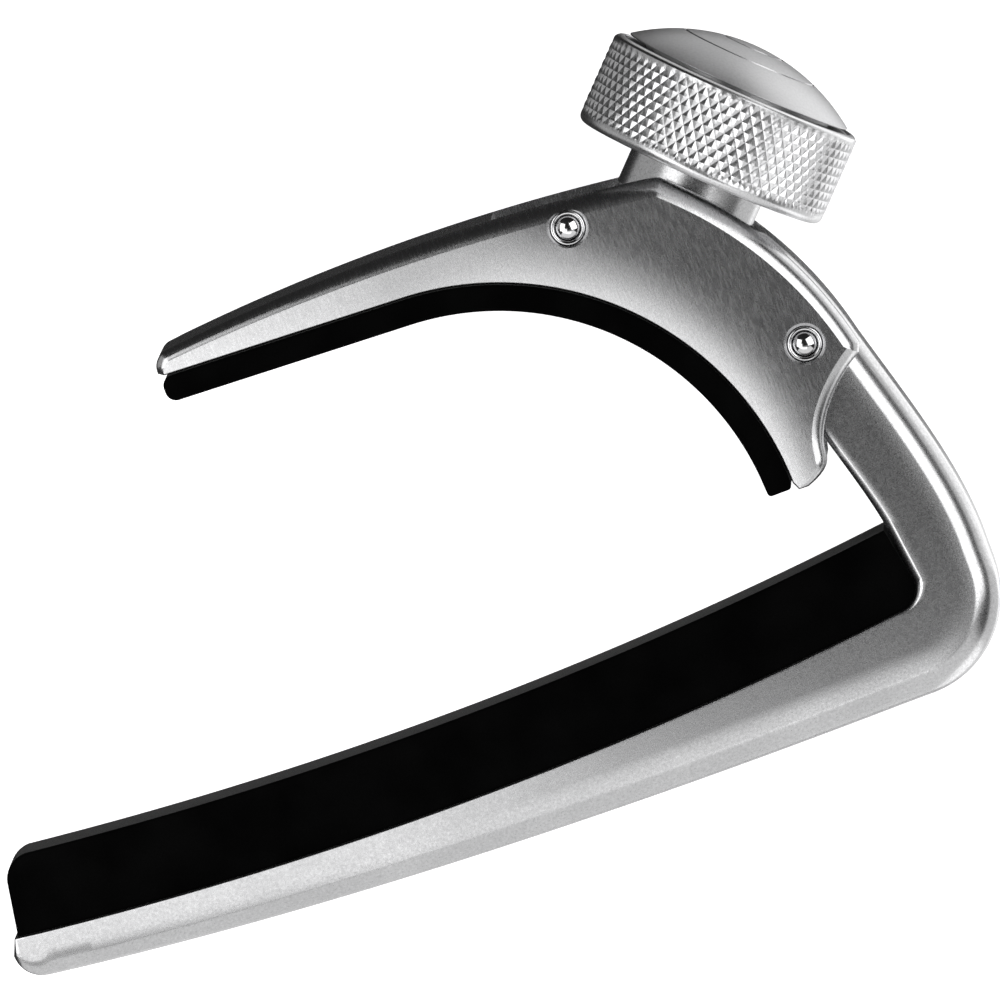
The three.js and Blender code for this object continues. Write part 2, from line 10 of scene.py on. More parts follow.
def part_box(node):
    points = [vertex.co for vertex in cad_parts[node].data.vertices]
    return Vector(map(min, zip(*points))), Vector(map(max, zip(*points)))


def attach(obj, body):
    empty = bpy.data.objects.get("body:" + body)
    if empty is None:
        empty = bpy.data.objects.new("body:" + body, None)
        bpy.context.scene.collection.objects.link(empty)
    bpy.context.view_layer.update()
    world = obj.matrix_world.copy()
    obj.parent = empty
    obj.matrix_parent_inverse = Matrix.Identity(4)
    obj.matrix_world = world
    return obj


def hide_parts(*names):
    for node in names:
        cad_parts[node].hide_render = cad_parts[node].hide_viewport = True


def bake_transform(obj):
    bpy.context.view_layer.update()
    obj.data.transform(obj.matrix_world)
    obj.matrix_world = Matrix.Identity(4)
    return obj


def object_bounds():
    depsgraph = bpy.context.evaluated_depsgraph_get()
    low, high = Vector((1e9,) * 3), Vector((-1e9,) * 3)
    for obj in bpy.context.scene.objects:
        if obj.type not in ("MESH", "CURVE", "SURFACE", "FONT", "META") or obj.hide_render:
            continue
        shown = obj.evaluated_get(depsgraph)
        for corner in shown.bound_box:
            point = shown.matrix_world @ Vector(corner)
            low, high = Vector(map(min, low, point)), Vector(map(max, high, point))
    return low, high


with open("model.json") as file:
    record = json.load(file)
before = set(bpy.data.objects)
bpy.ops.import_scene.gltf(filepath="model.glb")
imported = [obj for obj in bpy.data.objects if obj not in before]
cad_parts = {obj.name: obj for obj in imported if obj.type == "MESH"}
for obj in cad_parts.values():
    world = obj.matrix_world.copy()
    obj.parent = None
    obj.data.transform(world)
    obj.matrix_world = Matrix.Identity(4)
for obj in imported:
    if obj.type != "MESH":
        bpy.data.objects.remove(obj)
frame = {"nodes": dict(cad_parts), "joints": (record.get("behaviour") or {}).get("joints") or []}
cad_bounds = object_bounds()

MM = 0.001

# ---------------------------------------------------------------- measures read from the frame


def node_box(node):
    low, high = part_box(node)
    return np.array(low) / MM, np.array(high) / MM


def node_width(node):
    low, high = node_box(node)
    return high[2] - low[2]


def node_centre(node):
    low, high = node_box(node)
    return (low + high) / 2


JOINTS = {joint["name"]: joint for joint in frame["joints"]}
FRAME_WIDTH = node_width("frame")
JAW_WIDTH = node_width("jaw")
FRETBOARD_PAD_WIDTH = node_width("fretboard_pad")
NECK_PAD_WIDTH = node_width("neck_pad")
PIVOT = node_centre("pivot_pin")[:2]
STOP_PIN = node_centre("stop_pin")[:2]
PIN_LENGTH = node_width("pivot_pin")
KNOB_SEAT = np.array(JOINTS["knob_turn"]["pos_m"][:2]) / MM
SCREW_AXIS = np.array(JOINTS["knob_turn"]["axis"][:2])
FLOOR_LEVEL = cad_bounds[0].z / MM - 0.05

# ---------------------------------------------------------------- dimensions shared with the CAD

CHEEK = 1.5
FRETBOARD_RADIUS = 291.4
FRETBOARD_PAD_THICKNESS = 5.7
PAD_LEFT = -33.9
PAD_RIGHT = 34.8
GLUE_GAP = 0.1
PAD_HEEL_CORNER = 1.8
BAR_TIP = -35.25
BAR_TIP_CORNER = 2.2
BAR_BOTTOM = -10.38
HEEL_RADIUS = 7.45
SPINE_OUTSIDE = 40.75
NECK = (6.63, 7.2)
ARCH_RADIUS = 22.6
NECK_PAD_THICKNESS = 2
JAW_FLOOR = 1.8
STRAIGHT_TILT = 2.5
JAW_TIP = -10.75
JAW_TIP_ROUND = 1.3
NECK_PAD_TIP = -10.75
SLOT_END = 15.5
BACK_CENTRE = (7.9, 9.15)
BACK_RADIUS = 30
TOP_CENTRE = (6.5, -124)
TOP_RADIUS = 157.05
PIN_RADIUS = 0.9
BUSH_RADIUS = 1.27
SLEEVE_RADIUS = 1.9
LUG_RADIUS = 3.4
RUNNING = 0.04
PRESS = 0.05
SHOULDER_HEIGHT = -1.95
SHOULDER_REACH = 5.4
SEAT_HEIGHT = -3
NOSE_UNDERSIDE = -5.4
NOSE_REACH = -5.1
NOSE_CHAMFER = 0.5
NOTCH_FLOOR = -4.4
NOTCH_HEIGHT = 0.9
NOTCH_DEPTH = 1.7
COLLAR_RADIUS = 5.1
COLLAR_TOP = 1.7
COLLAR_SHANK_RADIUS = 3.4
COLLAR_SHANK_END = -4.9
SCREW_RADIUS = 2.45
SPOT_FACE = -9.2
KNOB_RADIUS = 9.525
KNOB_HEIGHT = 6.9
RECESS_RADIUS = 5.7
RECESS_DEPTH = 3.6
CAP_SEAT = 6
CAP_RADIUS = 8.8
CAP_DOME = 3.15
SPRING_LEG_Z = 4.3

STRAIGHT_SLOPE = math.tan(math.radians(STRAIGHT_TILT))
SEAT_RADIUS = FRETBOARD_RADIUS + FRETBOARD_PAD_THICKNESS
# Cutters run past the piece that they cut by at least this much.
BEYOND = 1

# The fineness of the meshes: the step along an outline, the samples that a curve is measured by, the
# degrees between an arc's points, the layers of a rounded edge, the steps round a turned corner and
# the sides of a turned body.
STEP = 0.4
CURVE_SAMPLES = 201
ARC_STEP = 8
ROUND_LAYERS = 9
PAD_LAYERS = 4
CORNER_STEPS = 6
PIN_SIDES = 64
HOLE_SIDES = 96
COLLAR_SIDES = 128
CAP_SIDES = 192
# Points of an outline that are nearer than this are one point.
SAME_POINT = 0.02
# A sharp corner of an outline moves inwards by at most the distance over this.
MITRE_LIMIT = 0.5

# Rounded edges meet the faces at this angle, which leaves a crisp line between them.
CREASE = math.radians(12)
# The frame's faces ease down to that line, at this slope and over this share of the edge's radius.
EASE_SLOPE = 0.07
FRAME_EASE = 0.7
# Faces that meet at more than this many degrees are shaded apart. The jaw's crowned faces keep their
# own shading up to the crease.
SHARP = 38
JAW_SHARP = 11
KNURL_SHARP = 18
CAP_SHARP = 20


# An object from points in millimetres and the faces that number them.
def solid(name, points, faces):
    mesh = bpy.data.meshes.new(name)
    mesh.from_pydata([tuple(float(c) * MM for c in p) for p in points], [], faces)
    made = bpy.data.objects.new(name, mesh)
    bpy.context.scene.collection.objects.link(made)
    return made


# ---------------------------------------------------------------- camera, floor and light

VIEW_SIZE = 72
VIEW_CENTRE = (8.86, 13.4)
VIEW_ROLL = math.radians(20.5)
VIEW_RIGHT = Vector((math.cos(VIEW_ROLL), -math.sin(VIEW_ROLL), 0))
VIEW_UP = Vector((math.sin(VIEW_ROLL), math.cos(VIEW_ROLL), 0))
# How far the camera's line leans off the Z axis, to the view's right and up.
VIEW_LEAN = (0.0172, 0.069)
LENS = 1000
SENSOR = 36
LIGHT_DISTANCE = 300
FLOOR_REACH = 3000
FLOOR_GLOW = 0.85
WORLD_GLOW = 0.02


# Turns a camera or light at a place towards a target, with its top towards up.
def look(obj, place, target, up):
    back = (place - target).normalized()
    right = up.cross(back).normalized()
    turn = Matrix((right, back.cross(right), back)).transposed()
    obj.matrix_world = Matrix.Translation(place * MM) @ turn.to_4x4()


def make_camera():
    data = bpy.data.cameras.new("camera")
    data.lens = LENS
    data.sensor_width = SENSOR
    camera = bpy.data.objects.new("camera", data)
    bpy.context.scene.collection.objects.link(camera)
    target = Vector((*VIEW_CENTRE, 0))
    back = Vector((0, 0, 1)) + VIEW_LEAN[0] * VIEW_RIGHT + VIEW_LEAN[1] * VIEW_UP
    distance = VIEW_SIZE * LENS / SENSOR
    look(camera, target + distance * back.normalized(), target, VIEW_UP)
    data.clip_start = 0.1
    data.clip_end = 10
    bpy.context.scene.camera = camera


# A point given to the right of the view's centre, up from it and towards the camera.
def in_view(right, up, out):
    return Vector((*VIEW_CENTRE, 0)) + right * VIEW_RIGHT + up * VIEW_UP + Vector((0, 0, out))


# Brightness is what a mirror would show of the light, whatever the light's size.
def area_light(name, place, aim, top, size, brightness):
    data = bpy.data.lights.new(name, "AREA")
    data.shape = "RECTANGLE"
    data.size, data.size_y = (side * MM for side in size)
    data.energy = brightness * math.pi * data.size * data.size_y
    light = bpy.data.objects.new(name, data)
    bpy.context.scene.collection.objects.link(light)
    light.visible_camera = False
    look(light, place, aim, top)


# A soft box that the capo sees in one direction: azimuth turns anticlockwise from the view's right,
# and tilt leans away from the camera's line. Width and height are the angles that it covers.
def soft_box(name, azimuth, tilt, width, height, brightness):
    around, lean = math.radians(azimuth), math.radians(tilt)
    outward = math.cos(around) * VIEW_RIGHT + math.sin(around) * VIEW_UP
    aim = in_view(0, 0, 0)
    place = aim + LIGHT_DISTANCE * (math.sin(lean) * outward + math.cos(lean) * Vector((0, 0, 1)))
    size = [2 * LIGHT_DISTANCE * math.tan(math.radians(angle / 2)) for angle in (width, height)]
    area_light(name, place, aim, outward, size, brightness)


# A small panel beside the lens. It is near, so only the flat faces under it mirror it.
def near_panel(name, right, up, distance, size, brightness):
    place = in_view(right, up, distance)
    area_light(name, place, in_view(right, up, 0), VIEW_UP, size, brightness)


def pale_floor():
    material = bpy.data.materials.new("pale_floor")
    material.use_nodes = True
    shader = material.node_tree.nodes["Principled BSDF"]
    shader.inputs["Base Color"].default_value = (0.93, 0.93, 0.93, 1)
    shader.inputs["Roughness"].default_value = 0.9
    shader.inputs["Specular IOR Level"].default_value = 0.1
    shader.inputs["Emission Color"].default_value = (1, 1, 1, 1)
    shader.inputs["Emission Strength"].default_value = FLOOR_GLOW
    return material


# A light table: it glows, so that the capo's shadow on it stays faint, and it neither lights nor
# shadows the capo.
def make_stage():
    square = [(-1, -1), (1, -1), (1, 1), (-1, 1)]
    corners = [(x * FLOOR_REACH, y * FLOOR_REACH, FLOOR_LEVEL) for x, y in square]
    floor = solid("floor", corners, [(0, 1, 2, 3)])
    floor.data.materials.append(pale_floor())
    floor.visible_glossy = False
    floor.visible_diffuse = False
    floor.visible_shadow = False


def make_world():
    world = bpy.data.worlds.new("studio")
    bpy.context.scene.world = world
    world.use_nodes = True
    background = world.node_tree.nodes["Background"]
    background.inputs["Color"].default_value = (1, 1, 1, 1)
    background.inputs["Strength"].default_value = WORLD_GLOW


def make_lights():
    soft_box("right", 25, 43, 48, 42, 2.3)
    soft_box("right_edge", 0, 118, 110, 64, 0.8)
    soft_box("below", 280, 80, 100, 106, 0.85)
    soft_box("below_inner", 280, 20, 60, 14, 0.2)
    soft_box("left", 175, 37, 50, 34, 1.9)
    soft_box("left_edge", 165, 90, 46, 60, 0.42)
    soft_box("under_heel", 315, 155, 70, 32, 0.9)
    soft_box("under_cap", 48, 130, 66, 48, 0.7)
    near_panel("bar_panel", -34, -23, 90, (64, 60), 1.27)
    near_panel("heel_panel", 19, -43, 90, (60, 36), 0.9)


make_camera()
make_stage()
make_world()
make_lights()
bpy.context.scene.view_settings.view_transform = "Standard"

# ---------------------------------------------------------------- materials


class Finish:
    """A node material, with short calls for the nodes that the finishes below share."""

    def __init__(self, name, metallic, sockets=()):
        self.material = bpy.data.materials.new(name)
        self.material.use_nodes = True
        self.tree = self.material.node_tree
        self.shader = self.tree.nodes["Principled BSDF"]
        for socket, value in {"Metallic": metallic, **dict(sockets)}.items():
            self.shader.inputs[socket].default_value = value

    def node(self, kind, **settings):
        made = self.tree.nodes.new(kind)
        for name, value in settings.items():
            setattr(made, name, value)
        return made

    def link(self, output, socket):
        self.tree.links.new(output, socket)

    # Object coordinates, scaled so that one unit is the grain's size along each axis.
    def coordinates(self, grain, turn=0):
        mapping = self.node("ShaderNodeMapping")
        mapping.inputs["Rotation"].default_value = (0, 0, math.radians(turn))
        mapping.inputs["Scale"].default_value = [1 / (size * MM) for size in grain]
        self.link(self.node("ShaderNodeTexCoord").outputs["Object"], mapping.inputs["Vector"])
        return mapping.outputs["Vector"]

    def noise(self, grain, detail=2, roughness=0.5, turn=0):
        noise = self.node("ShaderNodeTexNoise")
        noise.inputs["Scale"].default_value = 1
        noise.inputs["Detail"].default_value = detail
        noise.inputs["Roughness"].default_value = roughness
        self.link(self.coordinates(grain, turn), noise.inputs["Vector"])
        return noise.outputs["Fac"]

    def ranged(self, value, low, high, start=0.3, end=0.7):
        mapped = self.node("ShaderNodeMapRange")
        for socket, number in zip(("From Min", "From Max", "To Min", "To Max"), (start, end, low, high)):
            mapped.inputs[socket].default_value = number
        self.link(value, mapped.inputs["Value"])
        return mapped.outputs["Result"]

    def maths(self, operation, first, second):
        made = self.node("ShaderNodeMath", operation=operation)
        for socket, value in zip(made.inputs, (first, second)):
            self.link(value, socket)
        return made.outputs["Value"]

    def colour(self, value, dark, light):
        mix = self.node("ShaderNodeMix", data_type="RGBA")
        mix.inputs["A"].default_value = (*dark, 1)
        mix.inputs["B"].default_value = (*light, 1)
        self.link(value, mix.inputs["Factor"])
        self.link(mix.outputs["Result"], self.shader.inputs["Base Color"])

    def roughness(self, value):
        self.link(value, self.shader.inputs["Roughness"])

    # Height from a value, on top of the heights that the shader has already.
    def bump(self, value, depth):
        bump = self.node("ShaderNodeBump")
        bump.inputs["Distance"].default_value = depth * MM
        self.link(value, bump.inputs["Height"])
        if self.shader.inputs["Normal"].is_linked:
            self.link(self.shader.inputs["Normal"].links[0].from_socket, bump.inputs["Normal"])
        self.link(bump.outputs["Normal"], self.shader.inputs["Normal"])


def grey(value):
    return (value, value, value * 1.01)


# Bead-blasted aluminium: an even, fine grain with faint cloudy patches.
def blasted():
    finish = Finish("blasted_aluminium", 1)
    cloud = finish.noise((5, 5, 5), 3)
    grain = finish.noise((0.2, 0.2, 0.2), 3, 0.7)
    tone = finish.maths("MULTIPLY", finish.ranged(cloud, 0.8, 1), finish.ranged(grain, 0.45, 1))
    finish.colour(tone, grey(0.36), grey(0.7))
    finish.roughness(finish.ranged(grain, 0.3, 0.22))
    finish.bump(grain, 0.0028)
    return finish.material


# Brushed aluminium: fine lines run across the jaw, with short light scratches at a slant.
def brushed():
    finish = Finish("brushed_aluminium", 1)
    cloud = finish.noise((6, 6, 6), 2)
    lines = finish.noise((0.14, 1.1, 1.1), 3, 0.65)
    grain = finish.noise((0.16, 0.16, 0.16), 2, 0.6)
    scratches = finish.noise((0.09, 2.4, 2.4), 2, 0.5, turn=16)
    marks = finish.ranged(scratches, 0, 0.14, 0.62, 0.74)
    tone = finish.maths("MULTIPLY", finish.ranged(cloud, 0.85, 1), finish.ranged(lines, 0.7, 1))
    tone = finish.maths("MULTIPLY", tone, finish.ranged(grain, 0.6, 1))
    finish.colour(finish.maths("ADD", tone, marks), grey(0.38), grey(0.72))
    finish.roughness(finish.ranged(lines, 0.3, 0.22))
    finish.bump(lines, 0.0008)
    finish.bump(grain, 0.0018)
    return finish.material


# A finish whose colour, roughness and height all follow one fine grain.
def grained(name, size, colours, roughness, depth, detail=3, contrast=0.5, metallic=1):
    finish = Finish(name, metallic)
    grain = finish.noise(size, detail, contrast)
    finish.colour(finish.ranged(grain, 0, 1), *colours)
    finish.roughness(finish.ranged(grain, *roughness))
    finish.bump(grain, depth)
    return finish.material


def turned():
    colours = grey(0.5), grey(0.6)
    return grained("turned_aluminium", (0.2, 0.2, 0.2), colours, (0.34, 0.44), 0.004)


def knurled():
    colours = grey(0.58), grey(0.76)
    return grained("knurled_aluminium", (0.12, 0.12, 0.12), colours, (0.26, 0.36), 0.006, contrast=0.6)


def rubber():
    sockets = {"Specular IOR Level": 0.01, "Sheen Weight": 0.09, "Sheen Roughness": 0.25}
    finish = Finish("black_rubber", 0, sockets)
    grain = finish.noise((0.22, 0.22, 0.22), 4, 0.6)
    cloud = finish.noise((4, 4, 4), 2)
    finish.colour(finish.ranged(cloud, 0, 1), grey(0.0008), grey(0.002))
    finish.roughness(finish.ranged(grain, 0.6, 0.8))
    finish.bump(grain, 0.02)
    return finish.material


def polished():
    colours = grey(0.66), grey(0.74)
    return grained("polished_steel", (0.5, 0.5, 0.5), colours, (0.06, 0.14), 0.002)


def spring_steel():
    colours = grey(0.3), grey(0.42)
    return grained("spring_steel", (0.1, 0.1, 0.4), colours, (0.22, 0.36), 0.003)


def bronze():
    colours = (0.34, 0.17, 0.06), (0.48, 0.27, 0.11)
    return grained("bearing_bronze", (0.15, 0.15, 0.15), colours, (0.35, 0.5), 0.006, detail=4)


def nylon():
    colours = (0.72, 0.71, 0.67), (0.8, 0.79, 0.75)
    return grained("white_nylon", (0.3, 0.3, 0.3), colours, (0.4, 0.55), 0.004, detail=2, metallic=0)


MATERIALS = {
    "blasted_aluminium": blasted(),
    "brushed_aluminium": brushed(),
    "turned_aluminium": turned(),
    "knurled_aluminium": knurled(),
    "black_rubber": rubber(),
    "polished_steel": polished(),
    "spring_steel": spring_steel(),
    "bearing_bronze": bronze(),
    "white_nylon": nylon(),
}

# ---------------------------------------------------------------- lines and outlines


def arc(centre, radius, start, end):
    turn = abs(end - start)
    steps = max(2, round(math.radians(turn) * radius / STEP), round(turn / ARC_STEP))
    angles = np.radians(np.linspace(start, end, steps + 1))
    return np.column_stack([centre[0] + radius * np.cos(angles), centre[1] + radius * np.sin(angles)])


# A smooth stretch with one or two control points, its points an even distance apart.
def curve(*controls):
    controls = np.array(controls, float)
    degree = len(controls) - 1
    t = np.linspace(0, 1, CURVE_SAMPLES)[:, None]
    weights = [math.comb(degree, i) * t**i * (1 - t) ** (degree - i) for i in range(degree + 1)]
    points = sum(weight * control for weight, control in zip(weights, controls))
    along = np.concatenate([[0], np.cumsum(np.linalg.norm(np.diff(points, axis=0), axis=1))])
    places = np.linspace(0, along[-1], max(2, round(along[-1] / STEP)) + 1)
    return np.column_stack([np.interp(places, along, points[:, i]) for i in range(2)])


def pad_height(radius, x):
    return FRETBOARD_RADIUS - np.sqrt(radius**2 - x**2)


def pad_line(radius, start, end):
    x = np.linspace(start, end, max(2, round(abs(end - start) / (4 * STEP))) + 1)
    return np.column_stack([x, pad_height(radius, x)])


# The point at a height along the screw line and a distance to its right.
def from_screw(height, across):
    side = np.array([SCREW_AXIS[1], -SCREW_AXIS[0]])
    return KNOB_SEAT + height * SCREW_AXIS + across * side


# A stretch of outline whose edge rounding goes evenly from one radius to another.
def edged(points, start, end=None):
    points = np.atleast_2d(points)
    radii = np.linspace(start, start if end is None else end, len(points))
    return np.column_stack([points, radii])


# The stretches joined into one anticlockwise outline, without the repeated points between them.
def outline_of(*stretches):
    points = np.vstack(stretches)
    kept = np.linalg.norm(points[:, :2] - np.roll(points[:, :2], 1, axis=0), axis=1) > SAME_POINT
    points = points[kept]
    x, y = points[:, 0], points[:, 1]
    area = np.sum(x * np.roll(y, -1) - np.roll(x, -1) * y)
    return points if area > 0 else points[::-1]


# ---------------------------------------------------------------- meshes


# Smooth shading that breaks where faces meet at more than a number of degrees.
def soften(piece, sharp):
    piece.data.polygons.foreach_set("use_smooth", [True] * len(piece.data.polygons))
    piece.data.set_sharp_from_angle(angle=math.radians(sharp))
    even = piece.modifiers.new("even_shading", "WEIGHTED_NORMAL")
    even.keep_sharp = True


# Takes the cutters out of a piece, one after the other, and applies the cuts.
def cut(piece, cutters):
    for cutter in cutters:
        cutting = piece.modifiers.new("cut", "BOOLEAN")
        cutting.operation = "DIFFERENCE"
        cutting.solver = "EXACT"
        cutting.object = cutter
    graph = bpy.context.evaluated_depsgraph_get()
    mesh = bpy.data.meshes.new_from_object(piece.evaluated_get(graph))
    piece.modifiers.clear()
    piece.data = mesh
    for cutter in cutters:
        bpy.data.objects.remove(cutter)


# A piece with its cuts, finish and shading, which rides on no body yet.
def finished_piece(name, points, faces, slot, sharp=SHARP, cutters=()):
    piece = solid(name, points, faces)
    piece.data.validate()
    if cutters:
        cut(piece, cutters)
    piece.data.materials.append(MATERIALS[slot])
    soften(piece, sharp)
    return piece


# A finished piece that rides on a body and stands for some CAD nodes.
def mesh_piece(name, points, faces, body, slot, replaced, **settings):
    piece = finished_piece(name, points, faces, slot, **settings)
    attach(piece, body)
    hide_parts(*replaced)
    return piece


# An outline's points moved inwards, by one distance or by one for each point.
def inset(outline, distance):
    points = outline[:, :2]
    before = points - np.roll(points, 1, axis=0)
    after = np.roll(points, -1, axis=0) - points
    before /= np.linalg.norm(before, axis=1)[:, None]
    after /= np.linalg.norm(after, axis=1)[:, None]
    inward = np.column_stack([-before[:, 1] - after[:, 1], before[:, 0] + after[:, 0]])
    inward /= np.linalg.norm(inward, axis=1)[:, None]
    share = np.maximum(MITRE_LIMIT, inward[:, 0] * -after[:, 1] + inward[:, 1] * after[:, 0])
    return points + inward * (distance / share)[:, None]


# Those of the points that lie inside an outline and clear of its own points.
def inside(points, outline, clearance):
    x, y = points.T
    enclosed = np.zeros(len(points), bool)
    nearest = np.full(len(points), np.inf)
    for a, b in zip(outline, np.roll(outline, -1, axis=0)):
        crossing = (a[1] > y) != (b[1] > y)
        rise = b[1] - a[1] if b[1] != a[1] else 1
        enclosed ^= crossing & (x < a[0] + (y - a[1]) * (b[0] - a[0]) / rise)
        nearest = np.minimum(nearest, np.hypot(x - a[0], y - a[1]))
    return points[enclosed & (nearest > clearance)]


# The triangles that fill an outline through the inner points. They number the outline's points
# first and the inner points after them.
def fill(outline, inner):
    points = [Vector(p) for p in (*outline, *inner)]
    count = len(outline)
    edges = [(i, (i + 1) % count) for i in range(count)]
    only_inside, tolerance = 1, 1e-5
    _, _, triangles, sources, _, _ = delaunay_2d_cdt(points, edges, [], only_inside, tolerance)
    return [tuple(sources[corner][0] for corner in triangle) for triangle in triangles]


# A plate whose two faces fall away by a depth that depends on the place, as a crowned face does. The
# rows are points on the faces, which carry the fall; those too near the outline are left out.
def crowned_plate(outline, low, high, fall, rows):
    points, faces = plate(outline, low, high)
    count = len(outline)
    top = len(points) - count
    inner = inside(rows, points[:count, :2], ROW_CLEARANCE)
    triangles = fill(points[:count, :2], inner)
    first = len(points)
    made = faces[1:-1]
    for start, level, extra in ((0, low, first), (top, high, first + len(inner))):
        for triangle in triangles:
            corners = tuple(start + c if c < count else extra + c - count for c in triangle)
            made.append(corners if start else corners[::-1])
        points = np.vstack([points, np.column_stack([inner, np.full(len(inner), level)])])
    points[:, 2] -= np.sign(points[:, 2]) * fall(points[:, 0], points[:, 1])
    return points, made


# A plate between two heights, its edges rounded by each outline point's own radius.
def plate(outline, low, high, layers=ROUND_LAYERS, ease=0):
    radii = outline[:, 2]
    count = len(outline)
    turns = np.linspace(CREASE, math.pi / 2, layers)
    fall_at_side = EASE_SLOPE * ease + math.cos(CREASE)
    steps = [(1 - math.sin(turn), fall_at_side - math.cos(turn)) for turn in turns]
    if ease:
        steps.insert(0, (ease + steps[0][0], 0))
    rings = []
    for side in (-1, 1):
        for across, fall in steps if side < 0 else steps[::-1]:
            height = low + radii * fall if side < 0 else high - radii * fall
            rings.append(np.column_stack([inset(outline, radii * across), height]))
    faces = [tuple(range(count))[::-1]]
    for ring in range(len(rings) - 1):
        base = ring * count
        for i in range(count):
            j = (i + 1) % count
            faces.append((base + i, base + j, base + count + j, base + count + i))
    top = (len(rings) - 1) * count
    faces.append(tuple(top + i for i in range(count)))
    return np.vstack(rings), faces


# A profile of [radius, height, corner radius] corners, with each corner replaced by an arc. One that
# isn't closed keeps its two ends.
def rounded_profile(corners, closed=False):
    corners = np.array([list(c) + [0] * (3 - len(c)) for c in corners], float)
    made = []
    last = len(corners) - 1
    for i, (x, y, radius) in enumerate(corners):
        here = np.array([x, y])
        if radius == 0 or (not closed and i in (0, last)):
            made.append(here)
            continue
        before = corners[i - 1][:2] - here
        after = corners[(i + 1) % len(corners)][:2] - here
        before /= np.linalg.norm(before)
        after /= np.linalg.norm(after)
        half = math.acos(np.clip(before @ after, -1, 1)) / 2
        reach = radius / math.tan(half)
        middle = here + (before + after) / np.linalg.norm(before + after) * radius / math.sin(half)
        start = here + before * reach - middle
        end = here + after * reach - middle
        for share in np.linspace(0, 1, CORNER_STEPS + 1):
            mixed = start * (1 - share) + end * share
            made.append(middle + mixed / np.linalg.norm(mixed) * radius)
    return np.array(made)


# A turned body: the profile is carried round the axis, and closes on itself or on the axis.
def lathe(profile, matrix, sides, closed=False):
    profile = np.asarray(profile, float)
    angles = np.linspace(0, 2 * math.pi, sides, endpoint=False)
    points, rings = [], []
    for radius, height in profile:
        if radius < 1e-6:
            rings.append([len(points)] * sides)
            points.append((0, 0, height))
            continue
        rings.append(list(range(len(points), len(points) + sides)))
        points.extend((radius * math.cos(a), radius * math.sin(a), height) for a in angles)
    pairs = list(zip(rings[:-1], rings[1:]))
    if closed:
        pairs.append((rings[-1], rings[0]))
    faces = []
    for lower, upper in pairs:
        for i in range(sides):
            j = (i + 1) % sides
            corners = [lower[i], lower[j], upper[j], upper[i]]
            faces.append(tuple(dict.fromkeys(corners)))
    placed = [matrix @ Vector(p) for p in points]
    return placed, [f for f in faces if len(f) > 2]


# Where turned bodies stand: on a pin's axis, with its middle at the origin, or on the screw's axis,
# with the knob's seat at the origin.
def along_pin(centre):
    return Matrix.Translation((*centre, 0))


def along_screw():
    axis = Vector((*SCREW_AXIS, 0))
    across = Vector((0, 0, 1))
    turn = Matrix((across, axis.cross(across), axis)).transposed()
    return Matrix.Translation((*KNOB_SEAT, 0)) @ turn.to_4x4()


# ---------------------------------------------------------------- frame and fretboard pad

# The soft pads swell into their seats by this much of the glue gap.
PRESSED = 0.08
PAD_EDGE = 0.3
PAD_END_CORNER = 2
OUTSIDE_EDGE = 2.4
BAR_TIP_EDGE = 1.1
SPINE_INNER_EDGE = 0.75
SEAT_EDGE = 0.12
NOSE_EDGE = 0.3
# The bar rises towards its tip: the centre of the tip's corner lies this far above the bottom.
BAR_TIP_RISE = 5.43
UNDERSIDE_END = 3.5
# The notch's cutter is this wide along Z, and runs this far past the nose's end.
NOTCH_WIDTH = 2
NOTCH_RUN_OUT = 1.9


# The centre of the corner at the pad's heel, for a seat that lies a gap outside the pad's own.
def heel_corner(gap):
    x = PAD_RIGHT - PAD_HEEL_CORNER
    return x + gap, pad_height(SEAT_RADIUS + gap, x) + PAD_HEEL_CORNER


def frame_outline():
    tip_corner = (BAR_TIP + BAR_TIP_CORNER, BAR_BOTTOM + BAR_TIP_RISE)
    underside = curve((-33, -7.2), (-6, -10.75), (31, BAR_BOTTOM))
    heel_centre = (SPINE_OUTSIDE - HEEL_RADIUS, BAR_BOTTOM + HEEL_RADIUS)
    back = arc(BACK_CENTRE, BACK_RADIUS + GLUE_GAP, 14, 31.5)
    spine = curve((SPINE_OUTSIDE, -1.5), (SPINE_OUTSIDE + 0.2, 4), (38.75, 10.4), back[0])
    nose = [
        from_screw(SEAT_HEIGHT, SHOULDER_REACH),
        from_screw(SEAT_HEIGHT, NOSE_REACH + NOSE_CHAMFER),
        from_screw(SEAT_HEIGHT - NOSE_CHAMFER, NOSE_REACH),
        from_screw(NOSE_UNDERSIDE + NOSE_CHAMFER, NOSE_REACH),
        from_screw(NOSE_UNDERSIDE, NOSE_REACH + NOSE_CHAMFER),
        from_screw(NOSE_UNDERSIDE, UNDERSIDE_END),
    ]
    lug = arc(PIVOT, LUG_RADIUS, 150, 225)
    spine_inside = curve(lug[-1], (31.9, 11.2), (33.9, 5.2), (34.35, 2.11))
    pad_heel = heel_corner(GLUE_GAP)
    return outline_of(
        edged(arc(tip_corner, BAR_TIP_CORNER, 180, 260), 0.35, BAR_TIP_EDGE),
        edged(underside, BAR_TIP_EDGE + 0.3, OUTSIDE_EDGE),
        edged(arc(heel_centre, HEEL_RADIUS, -92, 0), OUTSIDE_EDGE),
        edged(spine, OUTSIDE_EDGE),
        edged(back, OUTSIDE_EDGE),
        edged(from_screw(SHOULDER_HEIGHT, SHOULDER_REACH), NOSE_EDGE),
        edged(nose, NOSE_EDGE),
        edged(lug, NOSE_EDGE, 0.5),
        edged(spine_inside, 0.5, SPINE_INNER_EDGE),
        edged(arc(pad_heel, PAD_HEEL_CORNER, 0, -90), SPINE_INNER_EDGE, SEAT_EDGE),
        edged(pad_line(SEAT_RADIUS + GLUE_GAP, pad_heel[0], BAR_TIP + 0.5), SEAT_EDGE),
    )


